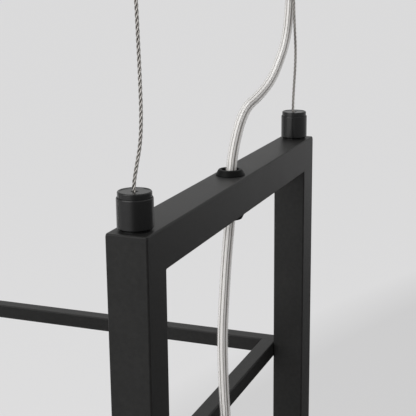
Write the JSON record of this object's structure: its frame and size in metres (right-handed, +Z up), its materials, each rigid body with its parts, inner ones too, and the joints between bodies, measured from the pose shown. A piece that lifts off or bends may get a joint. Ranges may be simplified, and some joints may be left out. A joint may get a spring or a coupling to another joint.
{
  "type": "linear island pendant",
  "caption": "Long open black tube frame on steel wires with push-button wire grips, a clear cord, a lamp beam with upright bulbs and slim ceiling canopies.",
  "frame": {"origin": "middle of the four ceiling screw holes, in the plane of the ceiling", "axes": "+Z up through the ceiling, +X along the pendant towards the end that the cord comes down to"},
  "size_m": [1.24, 0.2748, 0.511],
  "materials": {
    "black_powder_coat": "fine-textured matte black powder coat",
    "black_hardware": "satin black plating",
    "steel_wire": "twisted bright strands",
    "bush_rubber": "moulded black rubber",
    "clear_cord": "clear sheath over pale cores",
    "bulb_glass": "clear",
    "plated_metal": "nickel plated",
    "spring_steel": "bright",
    "black_plastic": "matte",
    "white_plastic": "moulded",
    "zinc_plate": "zinc plated sheet",
    "lead_sheath": "sleeved wires"
  },
  "bodies": {
    "ceiling": {"canopy_screws": "black_hardware", "cord_gland": "black_plastic", "cord_upper": "clear_cord", "left_canopy_cover": "black_powder_coat", "left_ceiling_bracket": "zinc_plate", "right_canopy_cover": "black_powder_coat", "right_ceiling_bracket": "zinc_plate", "suspension_wire_left_front": "steel_wire", "suspension_wire_left_rear": "steel_wire", "suspension_wire_right_front": "steel_wire", "suspension_wire_right_rear": "steel_wire", "terminal_block": "white_plastic", "wire_ferrules": "plated_metal", "wire_outlets": "black_hardware"},
    "frame": {"bulb_caps": "plated_metal", "bulb_glass_1": "bulb_glass", "bulb_glass_2": "bulb_glass", "bulb_glass_3": "bulb_glass", "bulb_glass_4": "bulb_glass", "cord_bush_foot": "bush_rubber", "cord_bush_top": "bush_rubber", "cord_bush_under": "bush_rubber", "cord_lower": "clear_cord", "front_rail": "black_powder_coat", "grip_body_left_front": "black_hardware", "grip_body_left_rear": "black_hardware", "grip_body_right_front": "black_hardware", "grip_body_right_rear": "black_hardware", "grip_spring_left_front": "spring_steel", "grip_spring_left_rear": "spring_steel", "grip_spring_right_front": "spring_steel", "grip_spring_right_rear": "spring_steel", "insert_nuts": "plated_metal", "lamp_beam": "black_powder_coat", "lamp_leads": "lead_sheath", "lampholder_cup_1": "black_powder_coat", "lampholder_cup_2": "black_powder_coat", "lampholder_cup_3": "black_powder_coat", "lampholder_cup_4": "black_powder_coat", "lampholder_inserts": "black_plastic", "lampholder_nipples": "plated_metal", "left_bottom_bar": "black_powder_coat", "left_cross_rail": "black_powder_coat", "left_post_front": "black_powder_coat", "left_post_rear": "black_powder_coat", "left_top_bar": "black_powder_coat", "rear_rail": "black_powder_coat", "right_bottom_bar": "black_powder_coat", "right_cross_rail": "black_powder_coat", "right_post_front": "black_powder_coat", "right_post_rear": "black_powder_coat", "right_top_bar": "black_powder_coat"},
    "plunger_right_front": {"grip_plunger_right_front": "black_hardware", "grip_balls_right_front": "spring_steel"},
    "plunger_right_rear": {"grip_plunger_right_rear": "black_hardware", "grip_balls_right_rear": "spring_steel"},
    "plunger_left_front": {"grip_plunger_left_front": "black_hardware", "grip_balls_left_front": "spring_steel"},
    "plunger_left_rear": {"grip_plunger_left_rear": "black_hardware", "grip_balls_left_rear": "spring_steel"}
  },
  "joints": [
    {"name": "height_adjust", "type": "slide", "parent": "ceiling", "child": "frame", "axis": [0, 0, 1], "range_m": [0, 0.08], "deforming": ["cord_upper"]},
    {"name": "grip_press_right_front", "type": "slide", "parent": "frame", "child": "plunger_right_front", "axis": [0, 0, -1], "range_m": [0, 0.001], "stiffness_N_per_m": 900, "springref_m": -0.0015, "deforming": ["grip_spring_right_front"]},
    {"name": "grip_press_right_rear", "type": "slide", "parent": "frame", "child": "plunger_right_rear", "axis": [0, 0, -1], "range_m": [0, 0.001], "stiffness_N_per_m": 900, "springref_m": -0.0015, "deforming": ["grip_spring_right_rear"]},
    {"name": "grip_press_left_front", "type": "slide", "parent": "frame", "child": "plunger_left_front", "axis": [0, 0, -1], "range_m": [0, 0.001], "stiffness_N_per_m": 900, "springref_m": -0.0015, "deforming": ["grip_spring_left_front"]},
    {"name": "grip_press_left_rear", "type": "slide", "parent": "frame", "child": "plunger_left_rear", "axis": [0, 0, -1], "range_m": [0, 0.001], "stiffness_N_per_m": 900, "springref_m": -0.0015, "deforming": ["grip_spring_left_rear"]}
  ]
}
